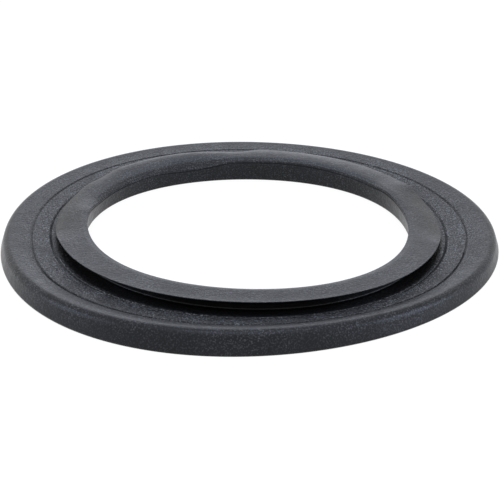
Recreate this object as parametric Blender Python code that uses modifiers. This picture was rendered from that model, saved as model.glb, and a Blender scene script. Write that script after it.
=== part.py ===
"""Overflow seal: one moulded rubber ring with a flange, an undercut neck and an overhanging collar lip.

Metres, +Z up. The ring lies flat on the face of its flange, with its axis on Z and its
underside on Z = 0. All radii build outwards from the bore, and all heights upwards from the underside.
"""
from math import pi, radians, tan

import bpy
from mathutils import Vector

# Widths, from the bore outwards
BORE_RADIUS = 0.0231         # wall of the bore at its top
BORE_FLARE = 0.0011          # how much wider the bore is at the underside
NECK_WALL = 0.0029           # bore to neck, so the neck is 52 mm across, for the overflow hole
LIP_OVERHANG = 0.0018        # how far the collar's lip stands out past the neck
SEAT_WIDTH = 0.0029          # neck to the inner fine line on the flange
RECESS_WIDTH = 0.0027        # inner fine line to the outer one
BAND_WIDTH = 0.0045          # outer fine line to the foot of the rim, which makes the ring 72 mm across
RIM_LEAN = 0.0007            # how far the outer face leans in from its foot to its top

# Heights, from the underside upwards
RIM_HEIGHT = 0.00265         # underside to the top of the flange at its rim
COLLAR_RISE = 0.00135        # rim to the flat top of the collar
BAND_FALL = 0.00025          # the flange dishes down towards the neck, in three stretches
RECESS_FALL = 0.00022
SEAT_FALL = 0.00012
OUTER_STEP = 0.00012         # drop at the outer fine line
INNER_STEP = 0.00006         # drop at the inner fine line
LIP_EDGE = 0.00015           # thickness of the lip at its sharp edge
NECK_GAP = 0.00070           # height of the groove under the lip, at the neck

# Fine lines and roundings
LINE_DEPTH = 0.00010         # depth of a fine line below the flange inside it
LINE_WIDTH = 0.00012         # width of each of its two sides
CREASE_DEPTH = 0.00008       # mould line round the bore, where its rounded top edge ends
CREASE_WIDTH = 0.00012
BORE_TOP_ROUND = 0.00080
BORE_BASE_ROUND = 0.00040
RIM_ROUND = 0.00100
BASE_ROUND = 0.00030
LIP_ROUND = 0.00006
ROOT_ROUND = 0.00025         # both corners of the groove, at the neck
ARC_STEP = radians(24)       # an arc has a point about this often
SHARED_SIDE = 0.45           # most of a side that an arc may take, where both its ends are rounded
OWN_SIDE = 0.90              # and where only one is
STEPS_ROUND = 120            # faces in one turn of the ring

# Rubber
RUBBER_COLOUR = (0.023, 0.024, 0.028, 1.0)
RUBBER_ROUGHNESS = 0.55


def clear_scene():
    for item in list(bpy.data.objects):
        bpy.data.objects.remove(item, do_unlink=True)


def section_corners():
    """Corners of the ring's section as (radius, height, rounding), once round it."""
    neck = BORE_RADIUS + NECK_WALL
    lip = neck + LIP_OVERHANG
    inner_line = neck + SEAT_WIDTH
    outer_line = inner_line + RECESS_WIDTH
    rim = outer_line + BAND_WIDTH
    bore_base = BORE_RADIUS + BORE_FLARE

    top = RIM_HEIGHT + COLLAR_RISE
    band_foot = RIM_HEIGHT - BAND_FALL
    recess_top = band_foot - OUTER_STEP
    recess_foot = recess_top - RECESS_FALL
    seat_top = recess_foot - INNER_STEP
    groove_floor = seat_top - SEAT_FALL
    lip_root = groove_floor + NECK_GAP

    crease_top = top - BORE_TOP_ROUND
    crease = crease_top - CREASE_WIDTH
    crease_foot = crease - CREASE_WIDTH

    def bore_wall(height):
        return BORE_RADIUS + BORE_FLARE * (top - height) / top

    return [
        (BORE_RADIUS, top, BORE_TOP_ROUND),
        (lip, top, LIP_ROUND),
        (lip, top - LIP_EDGE, LIP_ROUND),
        (neck, lip_root, ROOT_ROUND),
        (neck, groove_floor, ROOT_ROUND),
        (inner_line - 2 * LINE_WIDTH, seat_top, 0),
        (inner_line - LINE_WIDTH, seat_top - LINE_DEPTH, 0),
        (inner_line, recess_foot, 0),
        (outer_line - 2 * LINE_WIDTH, recess_top, 0),
        (outer_line - LINE_WIDTH, recess_top - LINE_DEPTH, 0),
        (outer_line, band_foot, 0),
        (rim - RIM_LEAN, RIM_HEIGHT, RIM_ROUND),
        (rim, 0, BASE_ROUND),
        (bore_base, 0, BORE_BASE_ROUND),
        (bore_wall(crease_foot), crease_foot, 0),
        (bore_wall(crease) + CREASE_DEPTH, crease, 0),
        (bore_wall(crease_top), crease_top, 0),
    ]


def rounded_corner(before, corner, after, rounding, longest_reach):
    """Points of an arc of the given radius that touches both sides of a corner."""
    to_before = before - corner
    to_after = after - corner
    half_angle = to_before.angle(to_after) / 2
    reach = min(rounding / tan(half_angle), longest_reach)
    radius = reach * tan(half_angle)
    start = corner + to_before.normalized() * reach
    end = corner + to_after.normalized() * reach
    bisector = (to_before.normalized() + to_after.normalized()).normalized()
    centre = corner + bisector * (reach**2 + radius**2) ** 0.5

    turn = pi - 2 * half_angle
    count = max(2, round(turn / ARC_STEP))
    first = (start - centre).normalized()
    last = (end - centre).normalized()
    return [centre + radius * first.slerp(last, step / count) for step in range(count + 1)]


def section_outline():
    corners = [(Vector((radius, height)), rounding) for radius, height, rounding in section_corners()]
    outline = []
    for index, (corner, rounding) in enumerate(corners):
        neighbours = [corners[index - 1], corners[(index + 1) % len(corners)]]
        if rounding:
            longest_reach = min(
                (place - corner).length * (SHARED_SIDE if its_rounding else OWN_SIDE)
                for place, its_rounding in neighbours)
            outline += rounded_corner(neighbours[0][0], corner, neighbours[1][0], rounding, longest_reach)
        else:
            outline.append(corner)
    return outline


def rubber():
    material = bpy.data.materials.new("black_rubber")
    material.use_nodes = True
    shader = material.node_tree.nodes["Principled BSDF"]
    shader.inputs["Base Color"].default_value = RUBBER_COLOUR
    shader.inputs["Roughness"].default_value = RUBBER_ROUGHNESS
    shader.inputs["Metallic"].default_value = 0.0
    material.diffuse_color = RUBBER_COLOUR
    return material


def turned_ring(name, outline):
    """The outline, swept once round Z by a Screw modifier."""
    points = [(place.x, 0, place.y) for place in outline]
    edges = [(index, (index + 1) % len(points)) for index in range(len(points))]
    profile = bpy.data.meshes.new(name)
    profile.from_pydata(points, edges, [])
    ring = bpy.data.objects.new(name, profile)

    screw = ring.modifiers.new("turn", "SCREW")
    screw.axis = "Z"
    screw.angle = 2 * pi
    screw.steps = STEPS_ROUND
    screw.render_steps = STEPS_ROUND
    screw.use_merge_vertices = True
    screw.merge_threshold = 0.000001
    screw.use_smooth_shade = True
    return ring


def main():
    clear_scene()
    collection = bpy.data.collections.new("overflow_seal")
    bpy.context.scene.collection.children.link(collection)

    seal = turned_ring("seal_ring", section_outline())
    seal.data.materials.append(rubber())
    collection.objects.link(seal)


main()
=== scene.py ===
"""Looks of the overflow seal: one black rubber ring, moulded in a steel tool, lying on a pale floor.

The ring's section is drawn in millimetres and turned round Z by Geometry Nodes, which also give the
ring the bends that soft rubber takes up when it lies loose. The section is close to that of the CAD
ring. Its collar is drawn 0.4 mm lower, and the waves in height bring its highest place up again.
"""
from collections import namedtuple
from math import cos, pi, radians, sin, tan

import bpy
from mathutils import Euler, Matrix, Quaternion, Vector


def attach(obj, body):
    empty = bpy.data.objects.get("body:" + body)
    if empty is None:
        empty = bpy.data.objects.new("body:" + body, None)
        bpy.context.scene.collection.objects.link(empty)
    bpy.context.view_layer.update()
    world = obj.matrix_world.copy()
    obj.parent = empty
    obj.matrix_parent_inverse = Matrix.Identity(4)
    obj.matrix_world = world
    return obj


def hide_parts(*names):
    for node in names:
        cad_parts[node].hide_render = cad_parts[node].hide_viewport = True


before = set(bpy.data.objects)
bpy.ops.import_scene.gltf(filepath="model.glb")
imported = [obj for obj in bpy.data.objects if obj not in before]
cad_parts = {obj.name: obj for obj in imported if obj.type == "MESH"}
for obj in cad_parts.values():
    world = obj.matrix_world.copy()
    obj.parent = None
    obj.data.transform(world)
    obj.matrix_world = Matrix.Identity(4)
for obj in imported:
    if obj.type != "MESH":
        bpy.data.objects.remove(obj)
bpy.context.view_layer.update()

MM = 0.001

# Section of the ring in millimetres: radii from the axis, heights from the floor
BORE_TOP_RADIUS = 23.5
BORE_BASE_RADIUS = 24.0
NECK_RADIUS = 26.0
LIP_RADIUS = 28.15
INNER_LINE_RADIUS = 29.1
OUTER_LINE_RADIUS = 31.8
RIM_FOOT_RADIUS = 36.1
RIM_LEAN = 0.7
COLLAR_TOP = 3.58
RIM_TOP = 2.66
BAND_FOOT = 2.34               # the band between the outer line and the rim dishes down to here
RECESS_TOP = 2.30
RECESS_FOOT = 2.03
SEAT_TOP = 1.98
GROOVE_FLOOR = 1.86
LIP_ROOT = 2.55                # underside of the lip, at the neck
LIP_EDGE = 0.15                # thickness of the lip at its edge
LINE_DEPTH = 0.24
LINE_WIDTH = 0.40
LINE_BOTTOM = 0.28             # its deepest place, inwards from its outer edge
TALC_RADIUS = 28.2             # talc lies on the flange from here outwards
CREASE_DEPTH = 0.16
CREASE_WIDTH = 0.15            # width of each side of the crease
CREASE_FALL = 0.58             # top of the collar to the crease round the bore
SLOPE_WIDTH = 0.9              # the collar's inner edge slopes down to the bore
SLOPE_FALL = 0.20
SLOPE_ROUND = 2.0
BORE_TOP_ROUND = 0.35
BORE_BASE_ROUND = 0.40
LIP_ROUND = 0.06
ROOT_ROUND = 0.25
RIM_ROUND = 1.0
BASE_ROUND = 0.30
TURN_RADIUS = 30.0             # radius of the circle that carries the section round
ARC_STEP = radians(9)          # an arc has a point about this often
ARC_LEAST = 3                  # fewest sides of an arc
SHARED_SIDE = 0.45             # most of a side that an arc may take, where both its ends are rounded
OWN_SIDE = 0.90                # and where only one is
LONGEST_STEP = 0.9             # longest stretch between two points of the section
GUARD_STEP = 0.05              # a point this near to each end of a side keeps the side's shading flat
STEPS_ROUND = 600

# Waves of the loose ring: name, turns round the ring, height in millimetres, crest in degrees from +X
FLANGE_WAVES = [
    ("Flange Shift", 1, 0.61, 156.3),
    ("Flange Three Waves", 3, 0.61, 7.9),
    ("Flange Four Waves", 4, 0.17, 47.3),
]
COLLAR_WAVES = [
    ("Collar Shift", 1, 0.40, 116.3),
    ("Collar Oval", 2, 0.45, 115.3),
    ("Collar Three Waves", 3, 0.25, 41.9),
    ("Collar Four Waves", 4, 0.17, 47.3),
]
FLANGE_HEIGHT_WAVES = [
    ("Flange Tilt", 1, 0.35, 259.0),
    ("Flange Saddle", 2, 0.46, 78.0),
]
COLLAR_HEIGHT_WAVES = [
    ("Collar Tilt", 1, 0.14, 137.0),
    ("Collar Saddle", 2, 0.36, 92.0),
]
FLANGE_WHOLLY = 33.0           # from this radius outwards only the flange's waves act
COLLAR_WHOLLY = 27.6           # and from this radius inwards only the collar's

# Where the collar bends up or down: name, millimetres, the edge that bends, how sharply it bends, middle
# of the stretch in degrees from +X, how far from the middle it is still whole, and where it has ended
COLLAR_BENDS = [
    ("Left Lip", -0.95, "lip", 2.0, 165, 7, 32),
    ("Back Left Rise", 0.30, "lip", 2.0, 130, 14, 30),
    ("Back Left Lip", -0.55, "lip", 3.5, 118, 22, 32),
    ("Back Right Lip", -0.30, "lip", 2.0, 66, 26, 38),
    ("Right Lip", -0.85, "lip", 2.0, 8, 6, 24),
    ("Left Sag", -0.85, "bore", 2.0, 133, 22, 38),
    ("Back Right Rise", 0.25, "bore", 1.2, 50, 10, 42),
    ("Back Shoulder", -0.50, "bore", 3.0, 78, 36, 50),
]
# Where the flange dips and its outer line shifts: name, millimetres, and the same three places
FLANGE_DIPS = [
    ("Front Dip", 0.30, -93, 50, 82),
]
OUTER_LINE_SHIFTS = [
    ("Outer Line Front Shift", 0.40, -93, 50, 82),
]
DIP_WHOLLY = 31.6              # the flange dips wholly up to this radius
DIP_END = 34.3                 # and from this one on not at all
SHIFT_REACH = 2.2              # how far from the outer line its shift is felt
# Where a fine line is filled: name, share of its depth, and the same three places
OUTER_LINE_FILLS = [
    ("Outer Line Back Fill", 1.0, 59, 20, 25),
    ("Outer Line Right Fill", 0.8, -2, 6, 12),
    ("Outer Line Left Fill", 0.35, 187, 12, 25),
]
INNER_LINE_FILLS = [
    ("Inner Line Back Fill", 1.0, 85, 69, 76),
    ("Inner Line Left Fill", 0.5, 201, 5, 11),
]
LIP_RAGGED = 0.09              # how far the lip's trimmed edge strays
LIP_RAGGED_PITCH = 2.5         # length of one stray along the edge

# Rubber: sRGB colours, and sizes in millimetres
SKIN_DARK = "131417"
SKIN_PALE = "1a1b1f"
# painted shade: near black painted into the groove, the fine lines and the crease
PAINTED_SHADE_BLACK = "050506"
TALC = "a8aaae"
BLOOM_PATCH = 6.0
TALC_PATCH = 4.0
TALC_GRAIN = 0.2
TALC_COVER = (0.30, 0.80)      # least and most of the talc's grains that a patch keeps
SHEEN_PATCH = 1.5
SKIN_ROUGHNESS = (0.24, 0.32)
STIPPLE_ROUGHNESS = 0.22       # what full stipple adds
STIPPLE_GRAIN = 0.4
STIPPLE_DEPTH = 0.20
TURNING_PITCH = 0.55
TURNING_HEIGHT = 0.006
UNEVEN_PATCH = 2.5
UNEVEN_HEIGHT = 0.05
RUBBER_SPECULAR = 0.21
NOISE_RANGE = (0.3, 0.7)       # nearly all of a noise lies between these
BLOOM_RANGE = (0.35, 0.65)
GRAIN_RANGE = (0.50, 0.68)     # less than the lower end is bare rubber, more than the upper end is talc

# Camera: millimetres and degrees
CAMERA_ELEVATION = 24.05
CAMERA_DISTANCE = 229.4
CAMERA_AIM = (0.03, -2.95, 0.0)
CAMERA_ROLL = 0.15
CAMERA_NEAR = 10.0
FOCAL_LENGTH = 115.2
SENSOR_WIDTH = 36.0

# Studio
FLOOR_GREY = "606060"
FLOOR_GLOW = 0.93              # share of the floor's white that no shadow takes away
FLOOR_REACH = 3.0              # metres from the middle to each side
ROOM_LIGHT = 0.60
SOFTBOX_COLOUR = "d8e4ff"
# Name of a lamp, its place and width in metres, its power in watts
SOFTBOXES = [
    ("back_softbox", (-0.05, 0.38, 0.52), 0.35, 0.8),
    ("low_back_softbox", (0.0, 0.57, 0.12), 0.25, 0.13),
    ("left_softbox", (-0.60, -0.10, 0.10), 0.4, 1.4),
    ("right_softbox", (0.60, -0.15, 0.10), 0.4, 2.4),
    ("top_softbox", (0.0, -0.30, 0.60), 0.5, 1.6),
]

# A corner's painted-shade value says how far shade is painted near black into the rubber's colour there
Corner = namedtuple("Corner", "radius height rounding stipple shelter collar")
POINT_VALUES = ["stipple", "shelter", "collar", "lip", "inner_line", "outer_line"]
MARKED_RADII = [LIP_RADIUS, INNER_LINE_RADIUS - LINE_BOTTOM, OUTER_LINE_RADIUS - LINE_BOTTOM]


def linear(hex_colour):
    """An sRGB colour such as "2b2d31" as linear RGBA."""
    channels = [int(hex_colour[place:place + 2], 16) / 255 for place in (0, 2, 4)]
    return [*(value / 12.92 if value <= 0.04045 else ((value + 0.055) / 1.055) ** 2.4
              for value in channels), 1.0]


def add_node(tree, kind, inputs=None, output=0, **settings):
    """Adds a node with its settings, links or fills its inputs, and gives one of its outputs."""
    node = tree.nodes.new(kind)
    for name, value in settings.items():
        setattr(node, name, value)
    for name, value in (inputs or {}).items():
        if isinstance(value, bpy.types.NodeSocket):
            tree.links.new(value, node.inputs[name])
        else:
            node.inputs[name].default_value = value
    return node.outputs[output]


def section_corners():
    """Corners of the section, once round it.

    Stipple is how strongly the tool's blasted steel marked the rubber. Painted shade is how far shade is
    painted into the colour as near black, with no talc, in the groove under the lip, the fine lines and
    the crease. Collar is 1 where the place follows the collar's bends and 0 where the flange's dips.
    """
    crease = COLLAR_TOP - CREASE_FALL

    def bore_wall(height):
        return BORE_BASE_RADIUS + (BORE_TOP_RADIUS - BORE_BASE_RADIUS) * height / COLLAR_TOP

    def line_bottom(inside, outside):
        return outside + (inside - outside) * LINE_BOTTOM / LINE_WIDTH - LINE_DEPTH

    seat_slope = (SEAT_TOP - GROOVE_FLOOR) / (INNER_LINE_RADIUS - LINE_WIDTH - NECK_RADIUS)
    talc_edge = GROOVE_FLOOR + (TALC_RADIUS - NECK_RADIUS) * seat_slope

    return [
        Corner(BORE_TOP_RADIUS, COLLAR_TOP - SLOPE_FALL, BORE_TOP_ROUND, 0.3, 0, 1),
        Corner(BORE_TOP_RADIUS + SLOPE_WIDTH, COLLAR_TOP, SLOPE_ROUND, 0.3, 0, 1),
        Corner(LIP_RADIUS, COLLAR_TOP, LIP_ROUND, 0.3, 0, 1),
        Corner(LIP_RADIUS, COLLAR_TOP - LIP_EDGE, LIP_ROUND, 0.1, 1, 1),
        Corner(NECK_RADIUS, LIP_ROOT, ROOT_ROUND, 0.1, 1, 1),
        Corner(NECK_RADIUS, GROOVE_FLOOR, ROOT_ROUND, 0.3, 1, 0),
        Corner(TALC_RADIUS, talc_edge, 0, 0.6, 0.9, 0),
        Corner(INNER_LINE_RADIUS - LINE_WIDTH, SEAT_TOP, 0, 0.8, 0, 0),
        Corner(INNER_LINE_RADIUS - LINE_BOTTOM, line_bottom(SEAT_TOP, RECESS_FOOT), 0, 0.8, 1, 0),
        Corner(INNER_LINE_RADIUS, RECESS_FOOT, 0, 0.8, 0, 0),
        Corner(OUTER_LINE_RADIUS - LINE_WIDTH, RECESS_TOP, 0, 0.7, 0, 0),
        Corner(OUTER_LINE_RADIUS - LINE_BOTTOM, line_bottom(RECESS_TOP, BAND_FOOT), 0, 0.7, 1, 0),
        Corner(OUTER_LINE_RADIUS, BAND_FOOT, 0, 0.6, 0, 0),
        Corner(RIM_FOOT_RADIUS - RIM_LEAN, RIM_TOP, RIM_ROUND, 0.25, 0, 0),
        Corner(RIM_FOOT_RADIUS, 0, BASE_ROUND, 0.15, 0, 0),
        Corner(BORE_BASE_RADIUS, 0, BORE_BASE_ROUND, 0.25, 0, 1),
        Corner(bore_wall(crease - CREASE_WIDTH), crease - CREASE_WIDTH, 0, 0.25, 0, 1),
        Corner(bore_wall(crease) + CREASE_DEPTH, crease, 0, 0.2, 1, 1),
        Corner(bore_wall(crease + CREASE_WIDTH), crease + CREASE_WIDTH, 0, 0.2, 0, 1),
    ]


def rounded_corner(before, corner, after, rounding, longest_reach):
    """Points of an arc of the given radius that touches both sides of a corner."""
    to_before = before - corner
    to_after = after - corner
    half_angle = to_before.angle(to_after) / 2
    reach = min(rounding / tan(half_angle), longest_reach)
    radius = reach * tan(half_angle)
    bisector = (to_before.normalized() + to_after.normalized()).normalized()
    centre = corner + bisector * (reach**2 + radius**2) ** 0.5
    first = (corner + to_before.normalized() * reach - centre).normalized()
    last = (corner + to_after.normalized() * reach - centre).normalized()
    count = max(ARC_LEAST, round((pi - 2 * half_angle) / ARC_STEP))
    return [centre + radius * first.slerp(last, step / count) for step in range(count + 1)]


def side_shares(length):
    """Shares of a straight side where it has points: one close to each end and even ones between."""
    if length < 4 * GUARD_STEP:
        return []
    inner = length - 2 * GUARD_STEP
    count = max(1, round(inner / LONGEST_STEP))
    return [(GUARD_STEP + inner * step / count) / length for step in range(count + 1)]


def section_outline():
    """The closed section as a list of points, each (place, *the values that POINT_VALUES names)."""
    corners = section_corners()
    places = [Vector((corner.radius, corner.height)) for corner in corners]
    bends = []
    for index, corner in enumerate(corners):
        following = (index + 1) % len(corners)
        if corner.rounding:
            longest_reach = min(
                (places[other] - places[index]).length
                * (SHARED_SIDE if corners[other].rounding else OWN_SIDE)
                for other in (index - 1, following))
            bend = rounded_corner(
                places[index - 1], places[index], places[following], corner.rounding, longest_reach)
        else:
            bend = [places[index]]
        bends.append(bend)

    outline = []
    for index, bend in enumerate(bends):
        corner = corners[index]
        following = corners[(index + 1) % len(corners)]
        marks = [float(corner.radius == radius) for radius in MARKED_RADII]
        outline += [(place, corner.stipple, corner.shelter, corner.collar, *marks) for place in bend]
        end = bends[(index + 1) % len(bends)][0]
        for share in side_shares((end - bend[-1]).length):
            values = [here + (there - here) * share for here, there in zip(corner[3:], following[3:])]
            outline.append((bend[-1].lerp(end, share), *values, *[0.0] * len(marks)))
    return outline


def section_mesh():
    """The section as a closed line, its radii measured from the circle that carries it."""
    outline = section_outline()
    points = [((place.x - TURN_RADIUS) * MM, -place.y * MM, 0) for place, *_ in outline]
    edges = [(index, (index + 1) % len(points)) for index in range(len(points))]
    mesh = bpy.data.meshes.new("seal_section")
    mesh.from_pydata(points, edges, [])
    for column, name in enumerate(POINT_VALUES, start=1):
        attribute = mesh.attributes.new(name, "FLOAT", "POINT")
        attribute.data.foreach_set("value", [point[column] for point in outline])
    attribute = mesh.attributes.new("across", "FLOAT", "POINT")
    attribute.data.foreach_set("value", [place.x * MM for place, *_ in outline])
    return mesh


def ring_tree(material):
    """Turns the section round Z, bends the ring as it lies loose and gives it its rubber."""
    tree = bpy.data.node_groups.new("turned_seal", "GeometryNodeTree")
    tree.interface.new_socket("Section", in_out="INPUT", socket_type="NodeSocketGeometry")
    sizes = {"Steps Round": STEPS_ROUND, "Turn Radius": TURN_RADIUS * MM,
             "Flange Wholly": FLANGE_WHOLLY * MM, "Collar Wholly": COLLAR_WHOLLY * MM,
             "Rim Top": RIM_TOP * MM, "Collar Top": COLLAR_TOP * MM,
             "Lip Radius": LIP_RADIUS * MM, "Bore Radius": BORE_TOP_RADIUS * MM,
             "Line Depth": LINE_DEPTH * MM, "Recess Top": RECESS_TOP * MM,
             "Dip Wholly": DIP_WHOLLY * MM, "Dip End": DIP_END * MM,
             "Outer Line Radius": OUTER_LINE_RADIUS * MM, "Shift Reach": SHIFT_REACH * MM,
             "Lip Ragged": LIP_RAGGED * MM, "Lip Ragged Pitch": LIP_RAGGED_PITCH * MM}
    waves = FLANGE_WAVES + COLLAR_WAVES + FLANGE_HEIGHT_WAVES + COLLAR_HEIGHT_WAVES
    sizes.update({name: height * MM for name, _, height, _ in waves})
    bends = COLLAR_BENDS + FLANGE_DIPS + OUTER_LINE_SHIFTS
    sizes.update({name: height * MM for name, height, *_ in bends})
    sizes.update({name: share for name, share, *_ in INNER_LINE_FILLS + OUTER_LINE_FILLS})
    for name, value in sizes.items():
        kind = "NodeSocketInt" if isinstance(value, int) else "NodeSocketFloat"
        tree.interface.new_socket(name, in_out="INPUT", socket_type=kind)
    tree.interface.new_socket("Ring", in_out="OUTPUT", socket_type="NodeSocketGeometry")
    given = tree.nodes.new("NodeGroupInput").outputs

    def maths(operation, *values):
        return add_node(tree, "ShaderNodeMath", dict(enumerate(values)), operation=operation)

    def attribute(name):
        return add_node(tree, "GeometryNodeInputNamedAttribute", {"Name": name}, data_type="FLOAT")

    section = add_node(tree, "GeometryNodeMeshToCurve", {"Mesh": given["Section"]})
    circle = add_node(tree, "GeometryNodeCurvePrimitiveCircle",
                      {"Resolution": given["Steps Round"], "Radius": given["Turn Radius"]}, mode="RADIUS")
    ring = add_node(tree, "GeometryNodeCurveToMesh", {"Curve": circle, "Profile Curve": section})

    # Polar place of each point
    place = add_node(tree, "GeometryNodeInputPosition")
    parts = tree.nodes.new("ShaderNodeSeparateXYZ")
    tree.links.new(place, parts.inputs[0])
    x, y, height = parts.outputs
    flat_place = add_node(tree, "ShaderNodeCombineXYZ", {"X": x, "Y": y})
    outwards = add_node(tree, "ShaderNodeVectorMath", {0: flat_place}, operation="NORMALIZE")
    radius = add_node(tree, "ShaderNodeVectorMath", {0: flat_place}, "Value", operation="LENGTH")
    angle = maths("ARCTAN2", y, x)
    flange_share = add_node(
        tree, "ShaderNodeMapRange",
        {"Value": radius, "From Min": given["Collar Wholly"], "From Max": given["Flange Wholly"]})
    lip_share = add_node(
        tree, "ShaderNodeMapRange",
        {"Value": radius, "From Min": given["Bore Radius"], "From Max": given["Lip Radius"]})

    def waves_of(table):
        total = 0.0
        for name, turns, _, crest in table:
            phase = maths("MULTIPLY", maths("SUBTRACT", angle, radians(crest)), float(turns))
            total = maths("ADD", maths("MULTIPLY", maths("COSINE", phase), given[name]), total)
        return total

    def stretch(middle, whole, end):
        nearness = maths("COSINE", maths("SUBTRACT", angle, radians(middle)))
        return add_node(tree, "ShaderNodeMapRange",
                        {"Value": nearness, "From Min": cos(radians(end)), "From Max": cos(radians(whole))},
                        interpolation_type="SMOOTHSTEP")

    def stretches_of(table):
        total = 0.0
        for name, _, *places in table:
            total = maths("ADD", maths("MULTIPLY", stretch(*places), given[name]), total)
        return total

    def blend(collar_value, flange_value):
        return add_node(
            tree, "ShaderNodeMix", {"Factor": flange_share, "A": collar_value, "B": flange_value})

    # Waves in the plane move a point outwards; waves in height stretch the ring upwards from the floor
    spread = blend(waves_of(COLLAR_WAVES), waves_of(FLANGE_WAVES))
    rise = blend(maths("DIVIDE", waves_of(COLLAR_HEIGHT_WAVES), given["Collar Top"]),
                 maths("DIVIDE", waves_of(FLANGE_HEIGHT_WAVES), given["Rim Top"]))

    # The collar bends towards its lip and towards its bore
    edge_shares = {"lip": lip_share, "bore": maths("SUBTRACT", 1.0, lip_share)}
    collar_bend = 0.0
    for name, _, edge, sharpness, *places in COLLAR_BENDS:
        share = maths("MULTIPLY", stretch(*places), maths("POWER", edge_shares[edge], sharpness))
        collar_bend = maths("ADD", maths("MULTIPLY", share, given[name]), collar_bend)
    collar_bend = maths("DIVIDE", collar_bend, given["Collar Top"])
    rise = maths("ADD", rise, maths("MULTIPLY", collar_bend, attribute("collar")))

    # The flange dips inside its rim
    dip_share = add_node(
        tree, "ShaderNodeMapRange",
        {"Value": radius, "From Min": given["Dip End"], "From Max": given["Dip Wholly"]},
        interpolation_type="SMOOTHSTEP")
    dip = maths("DIVIDE", maths("MULTIPLY", stretches_of(FLANGE_DIPS), dip_share), given["Recess Top"])
    rise = maths("SUBTRACT", rise, maths("MULTIPLY", dip, maths("SUBTRACT", 1.0, attribute("collar"))))

    # Towards the front the outer fine line lies further out
    from_line = maths("ABSOLUTE", maths("SUBTRACT", radius, given["Outer Line Radius"]))
    line_share = add_node(
        tree, "ShaderNodeMapRange", {"Value": from_line, "From Min": given["Shift Reach"], "From Max": 0.0},
        interpolation_type="SMOOTHSTEP")
    spread = maths("ADD", spread, maths("MULTIPLY", stretches_of(OUTER_LINE_SHIFTS), line_share))

    # The lip was trimmed, so its edge strays a little
    pitch = maths("DIVIDE", 1.0, given["Lip Ragged Pitch"])
    stray = add_node(tree, "ShaderNodeTexNoise", {"Vector": place, "Scale": pitch, "Detail": 2.0})
    ragged = maths("MULTIPLY", maths("SUBTRACT", stray, 0.5), given["Lip Ragged"])
    ragged = maths("MULTIPLY", ragged, attribute("lip"))
    move_out = add_node(tree, "ShaderNodeVectorMath", {0: outwards, "Scale": maths("ADD", spread, ragged)},
                        operation="SCALE")

    # In places a fine line is filled, some to the brim
    fill = maths("ADD", maths("MULTIPLY", stretches_of(INNER_LINE_FILLS), attribute("inner_line")),
                 maths("MULTIPLY", stretches_of(OUTER_LINE_FILLS), attribute("outer_line")))
    lift = maths("MULTIPLY", fill, given["Line Depth"])
    # Painted-shade mask of the groove, the fine lines and the crease, less where a line is filled
    shelter = maths("SUBTRACT", attribute("shelter"), fill)
    ring = add_node(tree, "GeometryNodeStoreNamedAttribute",
                    {"Geometry": ring, "Name": "shelter", "Value": shelter}, data_type="FLOAT")

    upwards = maths("ADD", maths("MULTIPLY", height, rise), lift)
    move_up = add_node(tree, "ShaderNodeCombineXYZ", {"Z": upwards})
    move = add_node(tree, "ShaderNodeVectorMath", {0: move_out, 1: move_up}, operation="ADD")
    ring = add_node(tree, "GeometryNodeSetPosition", {"Geometry": ring, "Offset": move})

    ring = add_node(tree, "GeometryNodeSetShadeSmooth", {0: ring})
    ring = add_node(tree, "GeometryNodeRealizeInstances", {0: ring})
    ring = add_node(tree, "GeometryNodeSetMaterial", {"Geometry": ring, "Material": material})
    tree.links.new(ring, tree.nodes.new("NodeGroupOutput").inputs["Ring"])
    return tree, sizes


def turned_seal(material):
    """The finished ring as one plain mesh."""
    tree, sizes = ring_tree(material)
    section = bpy.data.objects.new("seal_section", section_mesh())
    bpy.context.scene.collection.objects.link(section)
    modifier = section.modifiers.new("turn", "NODES")
    modifier.node_group = tree
    for socket in tree.interface.items_tree:
        if socket.name in sizes:
            modifier[socket.identifier] = sizes[socket.name]
    evaluated = section.evaluated_get(bpy.context.evaluated_depsgraph_get())
    mesh = bpy.data.meshes.new_from_object(evaluated)
    section.modifiers.remove(modifier)
    bpy.data.objects.remove(section)
    mesh.name = "moulded_seal"
    seal = bpy.data.objects.new("moulded_seal", mesh)
    bpy.context.scene.collection.objects.link(seal)
    return seal


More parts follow.
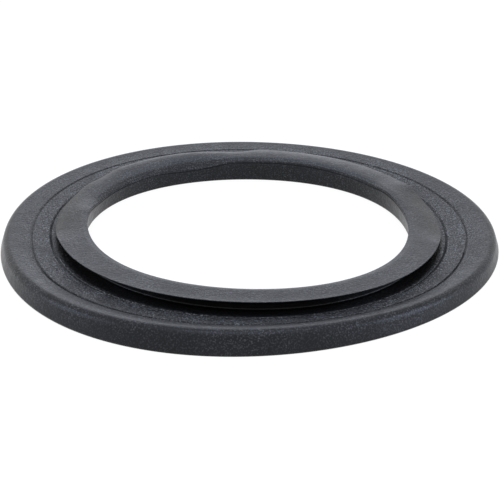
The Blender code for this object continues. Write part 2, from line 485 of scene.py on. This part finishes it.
def moulded_rubber():
    """Black nitrile rubber, pressed in a steel tool.

    It is a neutral black with a dull sheen that pales at a low angle. The collar took the smoother
    steel, the flange and the faces a blasted one, and moulding talc sits in the stipple that this
    left. In the groove, the fine lines and the crease, shade is painted into the colour as near black,
    and no talc is put there.
    """
    material = bpy.data.materials.new("moulded_nitrile_rubber")
    material.use_nodes = True
    tree = material.node_tree
    shader = tree.nodes["Principled BSDF"]

    def maths(operation, *values):
        return add_node(tree, "ShaderNodeMath", dict(enumerate(values)), operation=operation)

    def noise(size, detail=2.0, seed=0.0):
        """Noise with patches of about the given size in millimetres."""
        shifted = add_node(tree, "ShaderNodeVectorMath", {0: place, 1: (seed, seed, seed)}, operation="ADD")
        return add_node(tree, "ShaderNodeTexNoise",
                        {"Vector": shifted, "Scale": 1 / (size * MM), "Detail": detail})

    def spread(value, low, high, to_low=0.0, to_high=1.0):
        return add_node(
            tree, "ShaderNodeMapRange",
            {"Value": value, "From Min": low, "From Max": high, "To Min": to_low, "To Max": to_high})

    def mix(share, colour_a, colour_b):
        return add_node(tree, "ShaderNodeMix", {"Factor": share, "A": colour_a, "B": colour_b}, "Result",
                        data_type="RGBA")

    place = add_node(tree, "ShaderNodeTexCoord", output="Object")
    stipple = add_node(tree, "ShaderNodeAttribute", output="Fac", attribute_name="stipple")
    shelter = add_node(tree, "ShaderNodeAttribute", output="Fac", attribute_name="shelter")
    across = add_node(tree, "ShaderNodeAttribute", output="Fac", attribute_name="across")

    # Colour: patches of bloom 6 mm across, painted shade near black in the groove, the fine lines and
    # the crease, and talc in grains but none in the painted shade. A real grain of talc is 0.02 mm, too
    # fine to show, so it is drawn as clusters of 0.2 mm.
    bloom = spread(noise(BLOOM_PATCH, detail=3.0), *BLOOM_RANGE)
    skin = mix(bloom, linear(SKIN_DARK), linear(SKIN_PALE))
    skin_with_painted_shade = mix(shelter, skin, linear(PAINTED_SHADE_BLACK))
    grains = spread(noise(TALC_GRAIN, seed=11.0), *GRAIN_RANGE)
    cover = maths("MULTIPLY", stipple, spread(noise(TALC_PATCH, seed=13.0), *NOISE_RANGE, *TALC_COVER))
    talc = maths("MULTIPLY", grains, maths("MULTIPLY", cover, maths("SUBTRACT", 1.0, shelter)))
    tree.links.new(mix(talc, skin_with_painted_shade, linear(TALC)), shader.inputs["Base Color"])

    # Sheen of the skin, duller where it is stippled
    sheen = spread(noise(SHEEN_PATCH, detail=4.0, seed=3.0), *NOISE_RANGE, *SKIN_ROUGHNESS)
    roughness = maths("ADD", sheen, maths("MULTIPLY", stipple, STIPPLE_ROUGHNESS))
    tree.links.new(roughness, shader.inputs["Roughness"])

    # Relief: the stipple, drawn 0.4 mm across where the real one is 0.1 mm, rings 0.55 mm apart that the
    # turned steel left, and a faint unevenness
    pits = maths("MULTIPLY", noise(STIPPLE_GRAIN, seed=7.0), maths("MULTIPLY", stipple, STIPPLE_DEPTH * MM))
    turning = maths("SINE", maths("MULTIPLY", across, 2 * pi / (TURNING_PITCH * MM)))
    rings = maths("MULTIPLY", turning, maths("MULTIPLY", stipple, TURNING_HEIGHT * MM))
    uneven = maths("MULTIPLY", noise(UNEVEN_PATCH, seed=5.0), UNEVEN_HEIGHT * MM)
    relief = maths("ADD", maths("ADD", pits, rings), uneven)
    bump = add_node(tree, "ShaderNodeBump", {"Strength": 1.0, "Distance": 1.0, "Height": relief})
    tree.links.new(bump, shader.inputs["Normal"])
    shader.inputs["Specular IOR Level"].default_value = RUBBER_SPECULAR
    return material


def seen_rays(tree):
    """1 for rays that come straight from the camera, or by a reflection or through glass."""
    rays = tree.nodes.new("ShaderNodeLightPath").outputs
    seen = add_node(tree, "ShaderNodeMath", {0: rays["Is Camera Ray"], 1: rays["Is Glossy Ray"]},
                    operation="MAXIMUM")
    return add_node(tree, "ShaderNodeMath", {0: seen, 1: rays["Is Transmission Ray"]}, operation="MAXIMUM")


def studio_floor():
    """A white floor that keeps a soft shadow, and can be looked through from below."""
    mesh = bpy.data.meshes.new("studio_floor")
    corners = [(x * FLOOR_REACH, y * FLOOR_REACH, 0) for x, y in ((-1, -1), (1, -1), (1, 1), (-1, 1))]
    mesh.from_pydata(corners, [], [(0, 1, 2, 3)])
    floor = bpy.data.objects.new("studio_floor", mesh)
    bpy.context.scene.collection.objects.link(floor)
    material = bpy.data.materials.new("white_floor")
    material.use_nodes = True
    tree = material.node_tree
    tree.nodes.clear()
    matt = add_node(tree, "ShaderNodeBsdfDiffuse", {"Color": linear(FLOOR_GREY)})
    glow_strength = add_node(
        tree, "ShaderNodeMath", {0: seen_rays(tree), 1: FLOOR_GLOW}, operation="MULTIPLY")
    glow = add_node(tree, "ShaderNodeEmission", {"Color": (1, 1, 1, 1), "Strength": glow_strength})
    lit = add_node(tree, "ShaderNodeAddShader", {0: matt, 1: glow})
    below = add_node(tree, "ShaderNodeNewGeometry", output="Backfacing")
    clear = add_node(tree, "ShaderNodeBsdfTransparent")
    surface = add_node(tree, "ShaderNodeMixShader", {0: below, 1: lit, 2: clear})
    tree.links.new(surface, tree.nodes.new("ShaderNodeOutputMaterial").inputs["Surface"])
    mesh.materials.append(material)


def studio_world():
    """Soft light from all round, and white wherever the camera looks."""
    world = bpy.data.worlds.new("studio")
    world.use_nodes = True
    bpy.context.scene.world = world
    tree = world.node_tree
    background = tree.nodes["Background"]
    background.inputs["Color"].default_value = (1, 1, 1, 1)
    strength = add_node(
        tree, "ShaderNodeMapRange", {"Value": seen_rays(tree), "To Min": ROOM_LIGHT, "To Max": 1.0})
    tree.links.new(strength, background.inputs["Strength"])


def softbox(name, place, width, power):
    """A square lamp, turned to the ring."""
    light = bpy.data.lights.new(name, "AREA")
    light.size = width
    light.energy = power
    light.color = linear(SOFTBOX_COLOUR)[:3]
    lamp = bpy.data.objects.new(name, light)
    lamp.location = place
    lamp.rotation_euler = (-Vector(place)).to_track_quat("-Z", "Y").to_euler()
    bpy.context.scene.collection.objects.link(lamp)


def photo_camera():
    """A camera low in front of the ring, as in the photograph."""
    camera = bpy.data.objects.new("camera", bpy.data.cameras.new("camera"))
    camera.data.lens = FOCAL_LENGTH
    camera.data.sensor_width = SENSOR_WIDTH
    camera.data.clip_start = CAMERA_NEAR * MM
    elevation = radians(CAMERA_ELEVATION)
    away = Vector((0, -cos(elevation), sin(elevation)))
    camera.location = (Vector(CAMERA_AIM) + away * CAMERA_DISTANCE) * MM
    turn = Euler((pi / 2 - elevation, 0, 0)).to_quaternion() @ Quaternion((0, 0, 1), radians(CAMERA_ROLL))
    camera.rotation_euler = turn.to_euler()
    bpy.context.scene.collection.objects.link(camera)
    bpy.context.scene.camera = camera


rubber = moulded_rubber()
seal = turned_seal(rubber)
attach(seal, "root")
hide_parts("seal_ring")

studio_floor()
studio_world()
for softbox_values in SOFTBOXES:
    softbox(*softbox_values)
photo_camera()
bpy.context.scene.view_settings.view_transform = "Standard"
